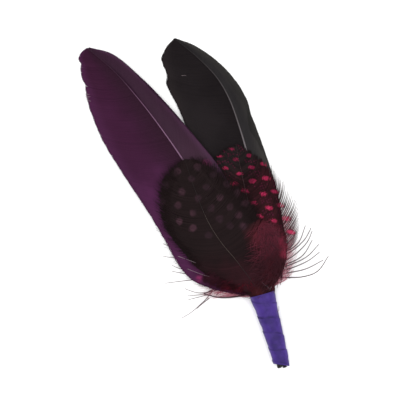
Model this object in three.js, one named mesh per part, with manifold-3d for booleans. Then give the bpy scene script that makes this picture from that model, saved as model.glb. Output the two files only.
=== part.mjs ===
// A spray of four dyed feathers with a tape-wrapped stem, lying on a table.
// Millimetres. +Z is up and the table is z = 0. +Y runs from the stem to the feather tips.
// The origin is the middle of the stem's flat underside.
import * as THREE from "three";
import Module from "manifold-3d";

const wasm = await Module();
wasm.setup();

// Thickness of a vane, and how far it thins towards its edge
const VANE_THICKNESS = 0.5;
const EDGE_THICKNESS = 0.36;

// A loose lock of barbs: its widths and thicknesses at the shaft and tip, the sections along it,
// and how far under the vane it leaves the shaft
const LOCK = { rootWidth: 0.8, tipWidth: 0.3, thickness: 0.4, tipThickness: 0.3, sections: 5, drop: 0.47 };

// Points closer than this to the line between their neighbours are merged
const MERGE_DISTANCE = 0.02;

const QUILL_SIDES = 8;
const QUILL_SECTIONS = 8;
const VANE_OVERLAP_ON_QUILL = 3;

// The wrapped stem. Each station is a section across it: centre x, centre y, half width, height.
const STEM = {
  stations: [
    [-2.45, -13.35, 3.05, 5.2],
    [-1.2, -7, 3.2, 5.6],
    [0, 0, 3.6, 6.1],
    [1.0, 7, 3.95, 6.8],
    [2.15, 13.9, 4.75, 7.6],
  ],
  lean: 9, // degrees that the stem leans from +Y
  cutSlant: 33, // degrees that the butt end is cut down to the right, from the x axis
  cutBack: 0.9, // how far the top of the butt end is cut back from its foot
  wall: 0.5,
  sides: 14,
  sections: 20,
  squareness: 2.6, // 2 is an ellipse, more is squarer
  footShare: 0.5, // share of the half width that lies flat on the table
  wrapPitch: 6.2, // how far one turn of tape moves along the stem
  wrapStep: 0.2, // height of the tape's edge over the turn below it
};

// Shafts run from the cut end to the tip as [x, y, z]. Edges run from the stem to the tip as [x, y, z].
// Radii are at the cut end, at the mouth of the wrap and at the tip. Splits are [share of the edge, depth].
const PURPLE = {
  name: "purple_feather",
  colour: "#4b2446",
  quill: [[-3.55, -13.6, 1.75], [-2.15, -6, 2.1], [-0.5, 4, 2.9], [1.0, 14, 4.0]],
  shaft: [
    [1.0, 14, 4.0], [1.7, 22, 4.7], [1.2, 32.6, 5.4], [-1.4, 52.4, 6.2], [-3.2, 69.6, 6.4],
    [-4.8, 80, 6.1], [-8.1, 96.2, 4.9], [-12.8, 112.7, 2.7], [-18.3, 125.3, 0.7],
  ],
  radii: [0.8, 0.95, 0.3],
  left: {
    start: 0.006,
    edge: [
      [-3.0, 16.6, 3.7], [-8.2, 19.9, 3.3], [-14.6, 25, 2.9], [-19.6, 31.1, 2.7], [-21.8, 38.5, 2.6], [-22.6, 48.6, 2.5],
      [-23.6, 59, 2.4], [-26.1, 75.9, 2.0], [-27.8, 90.7, 1.4], [-27.3, 104.5, 0.8], [-26.0, 110.6, 0.6],
      [-24.7, 114.6, 0.45], [-24.1, 118.4, 0.35], [-22.6, 122.8, 0.3], [-18.7, 125.2, 0.3],
    ],
    bow: 0.1,
    splits: [[0.87, 0.7], [0.925, 0.8]],
  },
  right: {
    start: 0.13,
    edge: [
      [6.9, 35, 4.9], [8.4, 47, 5.1], [8.2, 57, 5.2], [7.1, 66.2, 5.2], [4.5, 76.5, 4.9], [0.7, 90.7, 3.9],
      [-4.7, 106.5, 2.1], [-10.8, 119.2, 0.8], [-17.4, 125.0, 0.3],
    ],
    bow: 0.06,
    splits: [],
  },
  rows: 34,
  // Loose locks: share of the shaft where each starts, its tip [x, y, z] and how far it bows
  locks: [
    [0.13, [-23.6, 46.8, 1.4], 0.05], [0.11, [-25.6, 42.6, 1.3], 0.05], [0.09, [-27.6, 40.4, 1.3], 0.06],
    [0.08, [-24.0, 37.4, 1.2], 0.07], [0.065, [-24.8, 33.8, 1.1], 0.08], [0.055, [-27.8, 31.2, 1.0], 0.09],
    [0.05, [-23.6, 28.4, 1.0], 0.1], [0.04, [-20.6, 25.6, 1.0], 0.1], [0.035, [-18.8, 24.0, 0.9], 0.12],
    [0.03, [-24.2, 21.6, 0.9], 0.06], [0.025, [-14.2, 21.8, 0.9], 0.14], [0.02, [-17.6, 22.3, 0.9], 0.16],
    [0.04, [-29.2, 18.2, 0.9], 0.03],
  ],
};

const BLACK = {
  name: "black_feather",
  colour: "#2a2728",
  quill: [[-1.7, -14.3, 1.8], [-0.15, -6, 1.85], [1.8, 4, 1.9], [3.7, 14, 1.98]],
  shaft: [
    [3.7, 14, 1.98], [7.2, 24, 2.0], [11.6, 37, 2.1], [16.2, 52, 2.2], [19.1, 63.5, 2.3],
    [20.9, 75, 2.4], [21.8, 85.6, 2.3], [20.9, 94.8, 1.9], [17.3, 105.2, 1.2], [12.7, 114.8, 0.6],
  ],
  radii: [0.8, 0.9, 0.28],
  left: {
    start: 0.1,
    edge: [
      [2.2, 33, 1.5], [1.6, 48, 1.5], [2.2, 66, 1.4], [2.9, 82, 1.1], [3.1, 92.4, 0.7], [2.8, 98.6, 0.5],
      [4.4, 105.2, 0.35], [5.6, 110.6, 0.3], [9.2, 113.4, 0.3], [12.6, 114.6, 0.3],
    ],
    bow: 0.1,
    splits: [[0.79, 0.5]],
  },
  right: {
    start: 0.006,
    edge: [
      [9.4, 15.2, 1.0], [15.4, 21, 0.8], [20.5, 31.8, 0.7], [23.8, 43.5, 0.7], [25.6, 56.1, 0.8],
      [26.4, 68.7, 0.8], [27.0, 77.6, 0.7], [27.9, 84.2, 0.6], [25.4, 96.6, 0.4], [19, 108.6, 0.3],
      [13.4, 114.4, 0.3],
    ],
    bow: 0.06,
    splits: [],
  },
  rows: 31,
};

const PINK_SPOTTED = {
  name: "pink_spotted_feather",
  colour: "#7c2238",
  quill: [[-1.7, -13.1, 3.35], [-0.2, -5, 3.5], [1.8, 4, 3.75], [4.0, 14, 3.95]],
  shaft: [
    [4.0, 14, 3.95], [7.2, 26, 4.1], [10.2, 38, 4.3], [12.4, 50, 4.4], [14.6, 60, 4.3], [16.8, 68.9, 4.1],
  ],
  radii: [0.45, 0.5, 0.25],
  left: {
    start: 0.22,
    edge: [[-0.6, 42, 3.1], [-0.8, 52, 3.2], [1.2, 61, 3.3], [6, 67, 3.5], [12, 69, 3.8], [16.0, 68.6, 3.9]],
    bow: 0.08,
    splits: [],
  },
  right: {
    start: 0.14,
    edge: [
      [22.4, 28, 2.3], [23.7, 35.3, 2.3], [24.6, 42, 2.5], [25.5, 48.5, 2.6], [25.4, 55.5, 2.9],
      [22.2, 63, 3.4], [17.6, 68.6, 3.9],
    ],
    bow: 0.16,
    splits: [[0.1, 1.2], [0.3, 1.0]],
  },
  rows: 23,
  // Loose locks: share of the shaft where each starts, its tip [x, y, z] and how far it bows
  locks: [
    [0.4, [25.4, 57.6, 1.6], 0.24], [0.36, [27.0, 54.6, 1.5], 0.24], [0.33, [28.0, 51.2, 1.4], 0.24],
    [0.3, [28.8, 47.6, 1.3], 0.24], [0.26, [29.0, 43.6, 1.2], 0.24], [0.23, [28.6, 39.6, 1.1], 0.24],
    [0.2, [28.0, 35.6, 1.0], 0.22], [0.17, [27.6, 32.4, 0.9], 0.2], [0.15, [29.0, 30.6, 0.9], 0.2],
    [0.13, [29.6, 28.2, 0.8], 0.19], [0.12, [28.6, 24.8, 0.8], 0.18], [0.1, [29.4, 22.4, 0.8], 0.18],
    [0.09, [28.8, 19.6, 0.7], 0.18], [0.075, [30.6, 17.6, 0.7], 0.2], [0.06, [31.8, 19.4, 0.9], 0.3],
    [0.06, [17.8, 15.0, 0.6], 0.06],
  ],
};

const DARK_SPOTTED = {
  name: "dark_spotted_feather",
  colour: "#2b1c20",
  quill: [[-3.1, -12.4, 3.6], [-1.9, -5, 4.2], [-0.2, 4, 5.0], [1.7, 14, 6.05]],
  shaft: [
    [1.7, 14, 6.05], [0.3, 22, 6.9], [-1.4, 30, 7.4], [-3.6, 38.4, 7.9], [-4.7, 47, 8.3], [-4.3, 58, 8.4],
    [-2.8, 71.9, 7.9],
  ],
  radii: [0.42, 0.5, 0.25],
  left: {
    start: 0.01,
    edge: [
      [-1.6, 17.4, 5.6], [-5.0, 20.6, 5.3], [-11.0, 26.6, 4.7], [-16.0, 33.8, 4.4], [-18.4, 42.5, 4.3], [-20.4, 52, 4.3],
      [-18.4, 61.7, 5.1], [-12.6, 69.6, 6.7], [-6.2, 71.6, 7.7], [-3.2, 71.6, 7.9],
    ],
    bow: 0.12,
    splits: [[0.3, 1.2], [0.55, 1.0]],
  },
  right: {
    start: 0.01,
    edge: [
      [6.8, 15.6, 5.0], [12.2, 18.6, 4.5], [16.4, 23, 4.3], [19.4, 29.4, 4.3], [19.2, 34, 4.4],
      [16.8, 37.8, 4.8], [14, 40.4, 5.5], [12.6, 46, 6.1], [9.4, 56, 6.9], [5.0, 64.8, 7.5],
      [1.0, 69.8, 7.8], [-2.2, 71.4, 7.9],
    ],
    bow: 0.12,
    splits: [[0.14, 1.4], [0.24, 1.2], [0.6, 1.0]],
  },
  rows: 29,
};

const FEATHERS = [PURPLE, BLACK, PINK_SPOTTED, DARK_SPOTTED];

// Barbs slope forward: row q starts at q ** ROOT_POWER of the shaft and ends at q ** TIP_POWER of the edge
const ROOT_POWER = 1.25;
const TIP_POWER = 0.85;
const SHAFT_END = 0.995;

// Columns of a vane's grid on each side of the shaft, as shares of the barb's length
const VANE_COLUMNS = [0.12, 0.36, 0.66, 1];

const degrees = THREE.MathUtils.degToRad;
const mix = THREE.MathUtils.lerp;
const point = ([x, y, z]) => new THREE.Vector3(x, y, z);
const curveThrough = (list) => new THREE.CatmullRomCurve3(list.map(point), false, "centripetal");

// Joins closed sections into one solid. Each section lists its points clockwise, looking along the sweep.
function loft(sections) {
  const count = sections[0].length;
  const corners = sections.flat().flatMap((p) => [p.x, p.y, p.z]);
  const faces = [];
  const quad = (a, b, c, d) => faces.push(a, b, c, a, c, d);
  for (let i = 0; i + 1 < sections.length; i++) {
    for (let k = 0; k < count; k++) {
      const next = (k + 1) % count;
      quad(i * count + k, i * count + next, (i + 1) * count + next, (i + 1) * count + k);
    }
  }
  const last = (sections.length - 1) * count;
  for (let k = 0; k + 1 < count / 2; k++) {
    const across = count - 1 - k;
    quad(k, across, across - 1, k + 1);
    quad(last + k, last + k + 1, last + across - 1, last + across);
  }
  return new wasm.Manifold(
    new wasm.Mesh({ numProp: 3, vertProperties: new Float32Array(corners), triVerts: new Uint32Array(faces) }),
  );
}

// A tapering round rod along a curve
function rod(curve, radiusAt, sides, sections) {
  const rings = [];
  for (let i = 0; i <= sections; i++) {
    const share = i / sections;
    const centre = curve.getPointAt(share);
    const along = curve.getTangentAt(share);
    const side = new THREE.Vector3(along.y, -along.x, 0).normalize();
    const up = new THREE.Vector3().crossVectors(side, along);
    const ring = [];
    for (let k = 0; k < sides; k++) {
      const angle = (-2 * Math.PI * (k + 0.5)) / sides + Math.PI;
      ring.push(
        centre.clone().addScaledVector(side, radiusAt(share) * Math.cos(angle))
          .addScaledVector(up, radiusAt(share) * Math.sin(angle)),
      );
    }
    rings.push(ring);
  }
  return loft(rings);
}

// A point on a barb that leaves the shaft at root, ends at tip and bows back towards the stem
function barbPoint(root, tip, bow, share) {
  const reach = new THREE.Vector2(tip.x - root.x, tip.y - root.y);
  const back = new THREE.Vector2(reach.y, -reach.x).multiplyScalar(Math.sign(reach.x) * bow);
  const bend = 4 * share * (1 - share);
  return new THREE.Vector3(
    mix(root.x, tip.x, share) + back.x * bend,
    mix(root.y, tip.y, share) + back.y * bend,
    mix(root.z, tip.z, share ** 1.5),
  );
}

// Where a vane's barb ends: on its edge, or short of it at a split
function barbTip(vane, edge, root, share, rowShare) {
  const tip = edge.getPointAt(share ** TIP_POWER);
  const split = vane.splits.find(([place]) => Math.abs(place - share) < rowShare / 2);
  return split ? tip.lerp(root, split[1] / tip.distanceTo(root)) : tip;
}

// Both vanes and the shaft between them, as one curved slab with a ridge along the shaft
function vanes(feather) {
  const shaft = curveThrough(feather.shaft);
  const edges = { left: curveThrough(feather.left.edge), right: curveThrough(feather.right.edge) };
  const [, mouthRadius, tipRadius] = feather.radii;
  const shares = { left: VANE_COLUMNS.toReversed(), right: VANE_COLUMNS };
  const start = Math.min(feather.left.start, feather.right.start);
  const sections = [];
  for (let i = 0; i <= feather.rows; i++) {
    const along = i / feather.rows;
    const place = mix(start, SHAFT_END, along ** ROOT_POWER);
    const radius = mix(mouthRadius, tipRadius, place);
    const centre = shaft.getPointAt(place);
    const side = (name) => {
      const vane = feather[name];
      const begin = ((vane.start - start) / (SHAFT_END - start)) ** (1 / ROOT_POWER);
      const share = Math.max(0, (along - begin) / (1 - begin));
      const root = shaft.getPointAt(Math.max(place, vane.start));
      const tip = barbTip(vane, edges[name], root, share, 1 / feather.rows);
      // Rows below a vane's start taper into the shaft
      const shrink = along < begin ? mix(0.15, 1, along / begin) : 1;
      return shares[name].map((reach) => {
        const p = barbPoint(root, tip, vane.bow, reach * shrink);
        return { p, half: mix(VANE_THICKNESS, EDGE_THICKNESS, reach) / 2 };
      });
    };
    const flank = (sign) => ({
      p: new THREE.Vector3(centre.x + sign * radius, centre.y, centre.z),
      half: VANE_THICKNESS / 2,
    });
    const ridge = { p: centre, half: Math.max(radius, VANE_THICKNESS / 2) };
    const row = [...side("left"), flank(-1), ridge, flank(1), ...side("right")];
    const top = row.map(({ p, half }) => new THREE.Vector3(p.x, p.y, p.z + half));
    const under = row.map(({ p, half }) => new THREE.Vector3(p.x, p.y, Math.max(0, p.z - half)));
    sections.push([...top, ...under.reverse()]);
  }
  return loft(sections);
}

// The bare quill inside the wrap, running a little way up under the vanes
function quill(feather) {
  const shaft = curveThrough(feather.shaft);
  const overlap = VANE_OVERLAP_ON_QUILL / shaft.getLength();
  const start = Math.min(feather.left.start, feather.right.start);
  const end = shaft.getPointAt(start + overlap);
  const line = curveThrough([...feather.quill, end.toArray()]);
  const [buttRadius, mouthRadius] = feather.radii;
  return rod(line, (share) => mix(buttRadius, mouthRadius, share), QUILL_SIDES, QUILL_SECTIONS);
}

// A loose lock of barbs, from inside the vane to its free tip
function lock(feather, [place, tipPoint, bow]) {
  const root = curveThrough(feather.shaft).getPointAt(place);
  root.z -= LOCK.drop;
  const tip = point(tipPoint);
  const sections = [];
  for (let i = 0; i <= LOCK.sections; i++) {
    const share = i / LOCK.sections;
    const centre = barbPoint(root, tip, bow, share);
    const ahead = barbPoint(root, tip, bow, share + 0.01).sub(centre);
    const side = new THREE.Vector3(ahead.y, -ahead.x, 0).normalize();
    const halfWidth = mix(LOCK.rootWidth, LOCK.tipWidth, share) / 2;
    const halfHeight = mix(LOCK.thickness, LOCK.tipThickness, share) / 2;
    const corner = (across, up) =>
      centre.clone().addScaledVector(side, across * halfWidth).setZ(centre.z + up * halfHeight);
    sections.push([corner(-1, 1), corner(1, 1), corner(1, -1), corner(-1, -1)]);
  }
  return loft(sections);
}

// One section of the stem: a rounded square with a flat foot on the table, shrunk by the wall for the bore
function stemSection(share, inset) {
  const place = share * (STEM.stations.length - 1);
  const index = Math.max(0, Math.min(Math.floor(place), STEM.stations.length - 2));
  const [x, y, halfWidth, height] = STEM.stations[index].map((value, k) =>
    mix(value, STEM.stations[index + 1][k], place - index),
  );
  const length = STEM.stations.at(-1)[1] - STEM.stations[0][1];
  const slant = degrees(mix(STEM.cutSlant, STEM.lean, Math.min(1, share * 4)));
  const across = new THREE.Vector2(Math.cos(slant), -Math.sin(slant));
  const ring = [];
  for (let k = 0; k < STEM.sides; k++) {
    const angle = (-2 * Math.PI * (k + 0.5)) / STEM.sides + Math.PI;
    const turn = (share * length) / STEM.wrapPitch + k / STEM.sides;
    const proud = inset ? 0 : STEM.wrapStep * (turn - Math.floor(turn));
    const rounded = (value) => Math.sign(value) * Math.abs(value) ** (2 / STEM.squareness);
    const u = rounded(Math.cos(angle)) * (halfWidth - inset + proud);
    const rise = rounded(Math.sin(angle)) * (height / 2 - inset + proud);
    const onFoot = Math.sin(angle) < 0 && Math.abs(Math.cos(angle)) < STEM.footShare;
    const z = onFoot ? inset : Math.max(inset, height / 2 + rise);
    const back = (STEM.cutBack * Math.max(0, 1 - share * 4) * z) / height;
    ring.push(new THREE.Vector3(x + u * across.x, y + u * across.y + back, z));
  }
  return ring;
}

function stemSleeve() {
  const outer = [];
  const inner = [];
  const beyond = 0.02;
  for (let i = 0; i <= STEM.sections; i++) {
    const share = i / STEM.sections;
    outer.push(stemSection(share, 0));
    inner.push(stemSection(mix(-beyond, 1 + beyond, share), STEM.wall));
  }
  return loft(outer).subtract(loft(inner));
}

// Joins solids into one body, without the specks of no volume that surfaces which nearly touch leave behind
function joined(solids) {
  const bodies = wasm.Manifold.union(solids).simplify(MERGE_DISTANCE).decompose();
  return bodies.sort((a, b) => b.volume() - a.volume())[0];
}

// Turns a solid into a mesh with the finish of its piece
function pieceMesh(name, solid, colour, roughness) {
  const { vertProperties, triVerts, numProp } = solid.getMesh();
  const positions = new Float32Array((vertProperties.length / numProp) * 3);
  for (let i = 0; i < positions.length / 3; i++) {
    positions.set(vertProperties.subarray(i * numProp, i * numProp + 3), i * 3);
  }
  const geometry = new THREE.BufferGeometry();
  geometry.setAttribute("position", new THREE.BufferAttribute(positions, 3));
  geometry.setIndex(new THREE.BufferAttribute(triVerts, 1));
  geometry.computeVertexNormals();
  const material = new THREE.MeshStandardMaterial({ color: colour, roughness, metalness: 0 });
  const mesh = new THREE.Mesh(geometry, material);
  mesh.name = name;
  return mesh;
}

const spray = new THREE.Group();
for (const feather of FEATHERS) {
  const locks = (feather.locks ?? []).map((loose) => lock(feather, loose));
  const solid = joined([vanes(feather), quill(feather), ...locks]);
  spray.add(pieceMesh(feather.name, solid, feather.colour, 0.6));
}
spray.add(pieceMesh("stem_tape", stemSleeve(), "#4a3490", 0.45));

export default spray;
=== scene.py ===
import math
from functools import partial
import bpy
import numpy as np
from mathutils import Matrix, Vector, noise


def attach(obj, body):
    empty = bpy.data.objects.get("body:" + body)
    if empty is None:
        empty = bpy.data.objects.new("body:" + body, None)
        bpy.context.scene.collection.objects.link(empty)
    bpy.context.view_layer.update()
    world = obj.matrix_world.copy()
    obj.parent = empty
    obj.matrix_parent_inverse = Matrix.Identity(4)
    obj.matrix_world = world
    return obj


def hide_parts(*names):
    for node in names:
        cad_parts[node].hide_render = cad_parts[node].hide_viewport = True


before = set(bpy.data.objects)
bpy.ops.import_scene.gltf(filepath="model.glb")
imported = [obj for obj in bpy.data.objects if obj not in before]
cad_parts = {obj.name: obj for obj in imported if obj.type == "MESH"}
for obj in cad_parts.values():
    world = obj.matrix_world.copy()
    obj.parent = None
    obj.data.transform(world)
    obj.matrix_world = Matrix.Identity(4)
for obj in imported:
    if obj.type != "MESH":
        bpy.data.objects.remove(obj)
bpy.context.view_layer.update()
mm = 0.001

# Sloping of the barbs: row q leaves the shaft at q ** rootPower and reaches the edge at q ** tipPower
rootPower = 1.25
tipPower = 0.85
shaftEnd = 0.995
# Barbs are this much wider than their spacing along the shaft and the edge, so that a vane closes
rootOverlap = 1.9
tipOverlap = 1.6
quillLength = 27.5  # mm of bare quill inside the wrap


def hexColour(code):
    # sRGB hex to linear, with full alpha
    parts = [int(code[k:k + 2], 16) / 255 for k in (1, 3, 5)]
    return tuple(c / 12.92 if c <= 0.04045 else ((c + 0.055) / 1.055) ** 2.4 for c in parts) + (1,)


def addNode(tree, kind, settings=None, **values):
    # values are keyed i0, i1 ... for a socket's number, or by its name with _ for a space
    node = tree.nodes.new(kind)
    for key, value in (settings or {}).items():
        setattr(node, key, value)
    for key, value in values.items():
        numbered = key[0] == "i" and key[1:].isdigit()
        socket = node.inputs[int(key[1:]) if numbered else key.replace("_", " ")]
        if isinstance(value, bpy.types.Node):
            value = next(out for out in value.outputs if out.enabled)
        if isinstance(value, bpy.types.NodeSocket):
            tree.links.new(value, socket)
        else:
            socket.default_value = value
    return node


# kinds of node and of sum that the trees use most
mathNode, mixNode, vectorNode = "ShaderNodeMath", "ShaderNodeMix", "ShaderNodeVectorMath"
noiseNode, rangeNode = "ShaderNodeTexNoise", "ShaderNodeMapRange"
plus, minus, times, raised, timesPlus, scaled = (
    {"operation": kind} for kind in ("ADD", "SUBTRACT", "MULTIPLY", "POWER", "MULTIPLY_ADD", "SCALE"))


def newObject(name, data):
    obj = bpy.data.objects.new(name, data)
    bpy.context.scene.collection.objects.link(obj)
    return obj


def smoothLine(points, count):
    # centripetal Catmull-Rom through the points, evened out to count points, in metres
    p = np.array(points, float) * mm
    p = np.vstack([2 * p[0] - p[1], p, 2 * p[-1] - p[-2]])
    knots = np.concatenate([[0], np.cumsum(np.linalg.norm(np.diff(p, axis=0), axis=1) ** 0.5)])
    dense = []
    for i in range(1, len(p) - 2):
        t0, t1, t2, t3 = knots[i - 1:i + 3]
        t = np.linspace(t1, t2, 40, endpoint=False)[:, None]
        a1 = (t1 - t) / (t1 - t0) * p[i - 1] + (t - t0) / (t1 - t0) * p[i]
        a2 = (t2 - t) / (t2 - t1) * p[i] + (t - t1) / (t2 - t1) * p[i + 1]
        a3 = (t3 - t) / (t3 - t2) * p[i + 1] + (t - t2) / (t3 - t2) * p[i + 2]
        b1 = (t2 - t) / (t2 - t0) * a1 + (t - t0) / (t2 - t0) * a2
        b2 = (t3 - t) / (t3 - t1) * a2 + (t - t1) / (t3 - t1) * a3
        dense.append((t2 - t) / (t2 - t1) * b1 + (t - t1) / (t2 - t1) * b2)
    dense = np.vstack(dense + [p[-2][None]])
    length = np.concatenate([[0], np.cumsum(np.linalg.norm(np.diff(dense, axis=0), axis=1))])
    even = np.linspace(0, length[-1], count)
    return np.stack([np.interp(even, length, dense[:, k]) for k in range(3)], axis=1)


def lineCurve(name, lines):
    # one poly spline for each line
    curve = bpy.data.curves.new(name, "CURVE")
    curve.dimensions = "3D"
    for line in lines:
        spline = curve.splines.new("POLY")
        spline.points.add(len(line) - 1)
        for point, place in zip(spline.points, line):
            point.co = (*place, 1)
    return newObject(name, curve)


def settle(obj, name):
    # what the modifier makes of obj, as a plain mesh that replaces it
    graph = bpy.context.evaluated_depsgraph_get()
    grown = obj.evaluated_get(graph)
    mesh = bpy.data.meshes.new_from_object(grown, preserve_all_data_layers=True, depsgraph=graph)
    mesh.name = name
    bpy.data.objects.remove(obj)
    return newObject(name, mesh)


def barbTree():
    tree = bpy.data.node_groups.new("featherBarbs", "GeometryNodeTree")
    add = partial(addNode, tree)
    face = tree.interface
    face.new_socket("Geometry", in_out="OUTPUT", socket_type="NodeSocketGeometry")
    face.new_socket("Geometry", in_out="INPUT", socket_type="NodeSocketGeometry")
    inputs = {
        "Int": ["Barbs", "Points", "Seed"],
        "Float": [
            "Shaft Start", "Shaft End", "Begin", "Root Power", "Tip Power", "Bow", "Bow Late", "Droop Power",
            "Root Width", "Tip Width", "Taper From", "Thickness", "Shingle", "Tip Spread", "Root Spread",
            "Fray", "Scallop", "Clumps", "Clump Pull", "Split From", "Wander", "Wander Scale", "Drop",
            "Spot Swell",
        ],
        "Vector": ["Spot Frame"], "Object": ["Spots", "Patches"], "Material": ["Material"],
    }
    for kind, names in inputs.items():
        for name in names:
            face.new_socket(name, in_out="INPUT", socket_type="NodeSocket" + kind)
    given = tree.nodes.new("NodeGroupInput").outputs

    # one point for each barb, holding its place in the row and its own random number
    dots = add("GeometryNodePoints", Count=given["Barbs"])
    number = add("GeometryNodeInputIndex")
    randomNode, single = "FunctionNodeRandomValue", {"data_type": "FLOAT"}
    jitter = add(randomNode, single, i2=0.3, i3=0.7, Seed=given["Seed"])
    rowNumber = add(mathNode, plus, i0=number, i1=jitter.outputs[1])
    row = add(mathNode, {"operation": "DIVIDE"}, i0=rowNumber, i1=given["Barbs"])
    seedTwo = add(mathNode, plus, i0=given["Seed"], i1=7)
    pick = add(randomNode, single, i2=0.0, i3=1.0, Seed=seedTwo)
    seedThree = add(mathNode, plus, i0=given["Seed"], i1=13)
    stray = add(randomNode, single, i2=-1.0, i3=1.0, Seed=seedThree)
    storeNode, store = "GeometryNodeStoreNamedAttribute", {"data_type": "FLOAT", "domain": "POINT"}
    for name, value in (("row", row), ("pick", pick.outputs[1]), ("stray", stray.outputs[1])):
        dots = add(storeNode, store, Geometry=dots, Name=name, Value=value)

    # a straight barb on each, then bent to its place
    straight = add("GeometryNodeCurvePrimitiveLine", End=(1, 0, 0))
    straight = add("GeometryNodeResampleCurve", Curve=straight, Count=given["Points"])
    barbs = add("GeometryNodeInstanceOnPoints", Points=dots, Instance=straight)
    barbs = add("GeometryNodeRealizeInstances", Geometry=barbs)
    rowHere, pickHere, strayHere = (
        add("GeometryNodeInputNamedAttribute", single, Name=name).outputs[0]
        for name in ("row", "pick", "stray"))
    reach = add("GeometryNodeSplineParameter").outputs["Factor"]

    # where it leaves the shaft
    rooted = add(mathNode, raised, i0=rowHere, i1=given["Root Power"])
    place = add(rangeNode, Value=rooted, To_Min=given["Shaft Start"], To_Max=given["Shaft End"])
    sampleNode, byFactor = "GeometryNodeSampleCurve", {"mode": "FACTOR"}
    root = add(sampleNode, byFactor, Curves=given["Geometry"], Factor=place, Curve_Index=0)
    drop = add("ShaderNodeCombineXYZ", Z=given["Drop"])
    scatterSeed = add(mathNode, times, i0=strayHere, i1=31.0)
    oneWay = {"noise_dimensions": "1D"}
    scatter = add("ShaderNodeTexWhiteNoise", oneWay, W=scatterSeed)
    scatterBy = add(vectorNode, minus, i0=scatter.outputs["Color"], i1=(0.5, 0.5, 0.5))
    scatterFlat = add(vectorNode, times, i0=scatterBy, i1=(1, 1, 0.2))
    scattered = add(vectorNode, scaled, i0=scatterFlat, Scale=given["Root Spread"])
    dropped = add(vectorNode, minus, i0=root.outputs["Position"], i1=drop)
    rootAt = add(vectorNode, plus, i0=dropped, i1=scattered)

    # where it ends on the edge, pulled into clumps that open small splits
    share = add(rangeNode, Value=rowHere, From_Min=given["Begin"])
    shareUp = add(mathNode, raised, i0=share, i1=given["Tip Power"])
    uneven = add(noiseNode, oneWay, W=rowHere, Scale=given["Clumps"], Detail=1.0)
    clump = add(mathNode, timesPlus, i0=rowHere, i1=given["Clumps"], i2=uneven.outputs[0])
    inClump = add(mathNode, {"operation": "FRACT"}, i0=clump)
    fromMiddle = add(mathNode, minus, i0=0.5, i1=inClump)
    clumpId = add(mathNode, {"operation": "FLOOR"}, i0=clump)
    clumpSeed = add("ShaderNodeCombineXYZ", X=clumpId, Y=given["Seed"])
    clumpPick = add("ShaderNodeTexWhiteNoise", {"noise_dimensions": "2D"}, i0=clumpSeed)
    strong = add(mathNode, raised, i0=clumpPick.outputs["Value"], i1=2.0)
    opened = add(mathNode, {"operation": "GREATER_THAN"}, i0=rowHere, i1=given["Split From"])
    strongHere = add(mathNode, times, i0=strong, i1=opened)
    pull = add(mathNode, times, i0=strongHere, i1=given["Clump Pull"])
    shift = add(mathNode, times, i0=fromMiddle, i1=pull)
    clamped = {"use_clamp": True}
    tipShare = add(mathNode, {**timesPlus, **clamped}, i0=strayHere, i1=given["Tip Spread"], i2=shareUp)
    splitShare = add(mathNode, {**plus, **clamped}, i0=tipShare, i1=shift)
    tip, splitTip = (
        add(sampleNode, byFactor, Curves=given["Geometry"], Factor=end, Curve_Index=1)
        for end in (tipShare, splitShare))
    wave = add(mathNode, times, i0=uneven.outputs[0], i1=given["Scallop"])
    lost = add(mathNode, timesPlus, i0=pickHere, i1=given["Fray"], i2=wave)
    kept = add(mathNode, minus, i0=1.0, i1=lost)
    along = add(mathNode, times, i0=reach, i1=kept)

    # the bend between them
    droop = add(mathNode, raised, i0=along, i1=given["Droop Power"])
    shares = add("ShaderNodeCombineXYZ", X=along, Y=along, Z=droop)
    byAxis = {"data_type": "VECTOR", "factor_mode": "NON_UNIFORM"}
    line = add(mixNode, byAxis, i1=shares, i4=rootAt, i5=tip.outputs["Position"])
    span = add(vectorNode, minus, i0=tip.outputs["Position"], i1=root.outputs["Position"])
    back = add(vectorNode, {"operation": "CROSS_PRODUCT"}, i0=span, i1=(0, 0, 1))
    left = add(mathNode, minus, i0=1.0, i1=along)
    late = add(mathNode, raised, i0=along, i1=given["Bow Late"])
    hump = add(mathNode, times, i0=late, i1=left)
    bow = add(mathNode, times, i0=hump, i1=given["Bow"])
    bowFour = add(mathNode, times, i0=bow, i1=4.0)
    bent = add(vectorNode, scaled, i0=back, Scale=bowFour)
    curved = add(vectorNode, plus, i0=line.outputs[1], i1=bent)
    aside = add(vectorNode, minus, i0=splitTip.outputs["Position"], i1=tip.outputs["Position"])
    asideBy = add(mathNode, raised, i0=along, i1=4.0)
    asideHere = add(vectorNode, scaled, i0=aside, Scale=asideBy)
    placed = add(vectorNode, plus, i0=curved, i1=asideHere)

    # each barb wanders a little on its own way
    ownPick = add(mathNode, times, i0=pickHere, i1=90.0)
    ownWay = add("ShaderNodeCombineXYZ", X=ownPick, Y=along, Z=rowHere)
    drift = add(noiseNode, Vector=ownWay, Scale=given["Wander Scale"], Detail=1.0)
    centred = add(vectorNode, minus, i0=drift.outputs["Color"], i1=(0.5, 0.5, 0.5))
    wanderBy = add(mathNode, times, i0=along, i1=given["Wander"])
    wandered = add(vectorNode, scaled, i0=centred, Scale=wanderBy)
    flatter = add(vectorNode, times, i0=wandered, i1=(1, 1, 0.45))
    final = add(vectorNode, plus, i0=placed, i1=flatter)
    barbs = add("GeometryNodeSetPosition", Geometry=barbs, Position=final)

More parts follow.
